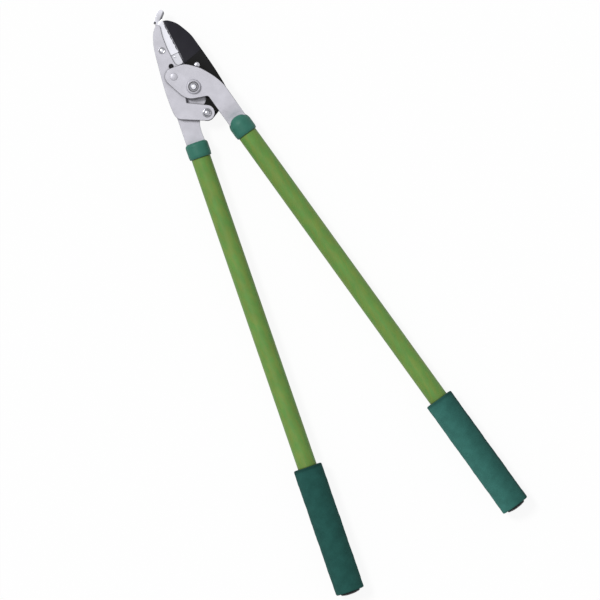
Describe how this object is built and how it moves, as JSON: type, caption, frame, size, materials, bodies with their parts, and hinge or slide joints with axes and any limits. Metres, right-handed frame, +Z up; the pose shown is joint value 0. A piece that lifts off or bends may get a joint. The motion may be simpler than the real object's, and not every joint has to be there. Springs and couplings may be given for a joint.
{
  "type": "anvil lopper",
  "caption": "Long-handled anvil lopper with a double lever: a black blade closes on a toothed steel anvil jaw, green tube handles, teal foam grips.",
  "frame": {"origin": "centre of the main bolt's end face, level with the underside of the grips, where the tool rests", "axes": "+Y from the main bolt to the tip of the closed jaws, +X to the blade's side, +Z up from the surface that the tool lies on"},
  "size_m": [0.2616, 0.7407, 0.0361],
  "materials": {
    "satin_steel": "satin, lightly pressed edges",
    "bright_steel": "bright",
    "blade_coating": "black non-stick coating",
    "green_paint": "satin paint",
    "teal_plastic": "satin moulded plastic",
    "teal_foam": "fine closed-cell foam",
    "black_plastic": "matte"
  },
  "bodies": {
    "right_handle": {"right_plate_front": "satin_steel", "right_plate_back": "satin_steel", "pivot_bolt": "bright_steel", "pivot_washer_front": "satin_steel", "pivot_washer_back": "satin_steel", "pivot_nut": "satin_steel", "pivot_bush_front": "satin_steel", "pivot_bush_back": "satin_steel", "anvil_link_rivet": "satin_steel", "anvil_link_sleeve": "satin_steel", "tang_rivet_right": "satin_steel", "tube_right": "green_paint", "ferrule_right": "teal_plastic", "grip_right": "teal_foam", "end_cap_right": "black_plastic"},
    "left_handle": {"left_plate": "satin_steel", "blade_link_rivet": "bright_steel", "tang_rivet_left": "satin_steel", "tube_left": "green_paint", "ferrule_left": "teal_plastic", "grip_left": "teal_foam", "end_cap_left": "black_plastic"},
    "anvil_jaw": {"anvil_plate_front": "satin_steel", "anvil_plate_back": "satin_steel", "anvil_insert": "bright_steel", "insert_rivet_upper": "bright_steel", "insert_rivet_lower": "bright_steel", "rear_rivet": "bright_steel", "rear_spacer": "satin_steel"},
    "blade_jaw": {"blade": "blade_coating"}
  },
  "joints": [
    {"name": "handles_open", "type": "hinge", "parent": "right_handle", "child": "left_handle", "pos_m": [0, 0, 0.018], "axis": [0, 0, -1], "range_deg": [0, 50]},
    {"name": "anvil_turn", "type": "hinge", "parent": "right_handle", "child": "anvil_jaw", "pos_m": [-0.0158, 0.0221, 0.018], "axis": [0, 0, -1], "range_deg": [0, 17]},
    {"name": "blade_turn", "type": "hinge", "parent": "left_handle", "child": "blade_jaw", "pos_m": [0.0158, 0.0221, 0.018], "axis": [0, 0, 1], "range_deg": [0, 17]}
  ],
  "couplings": [
    {"joint": "anvil_turn", "follows": "handles_open", "ratio": 0.334},
    {"joint": "blade_turn", "follows": "handles_open", "ratio": 0.334}
  ]
}
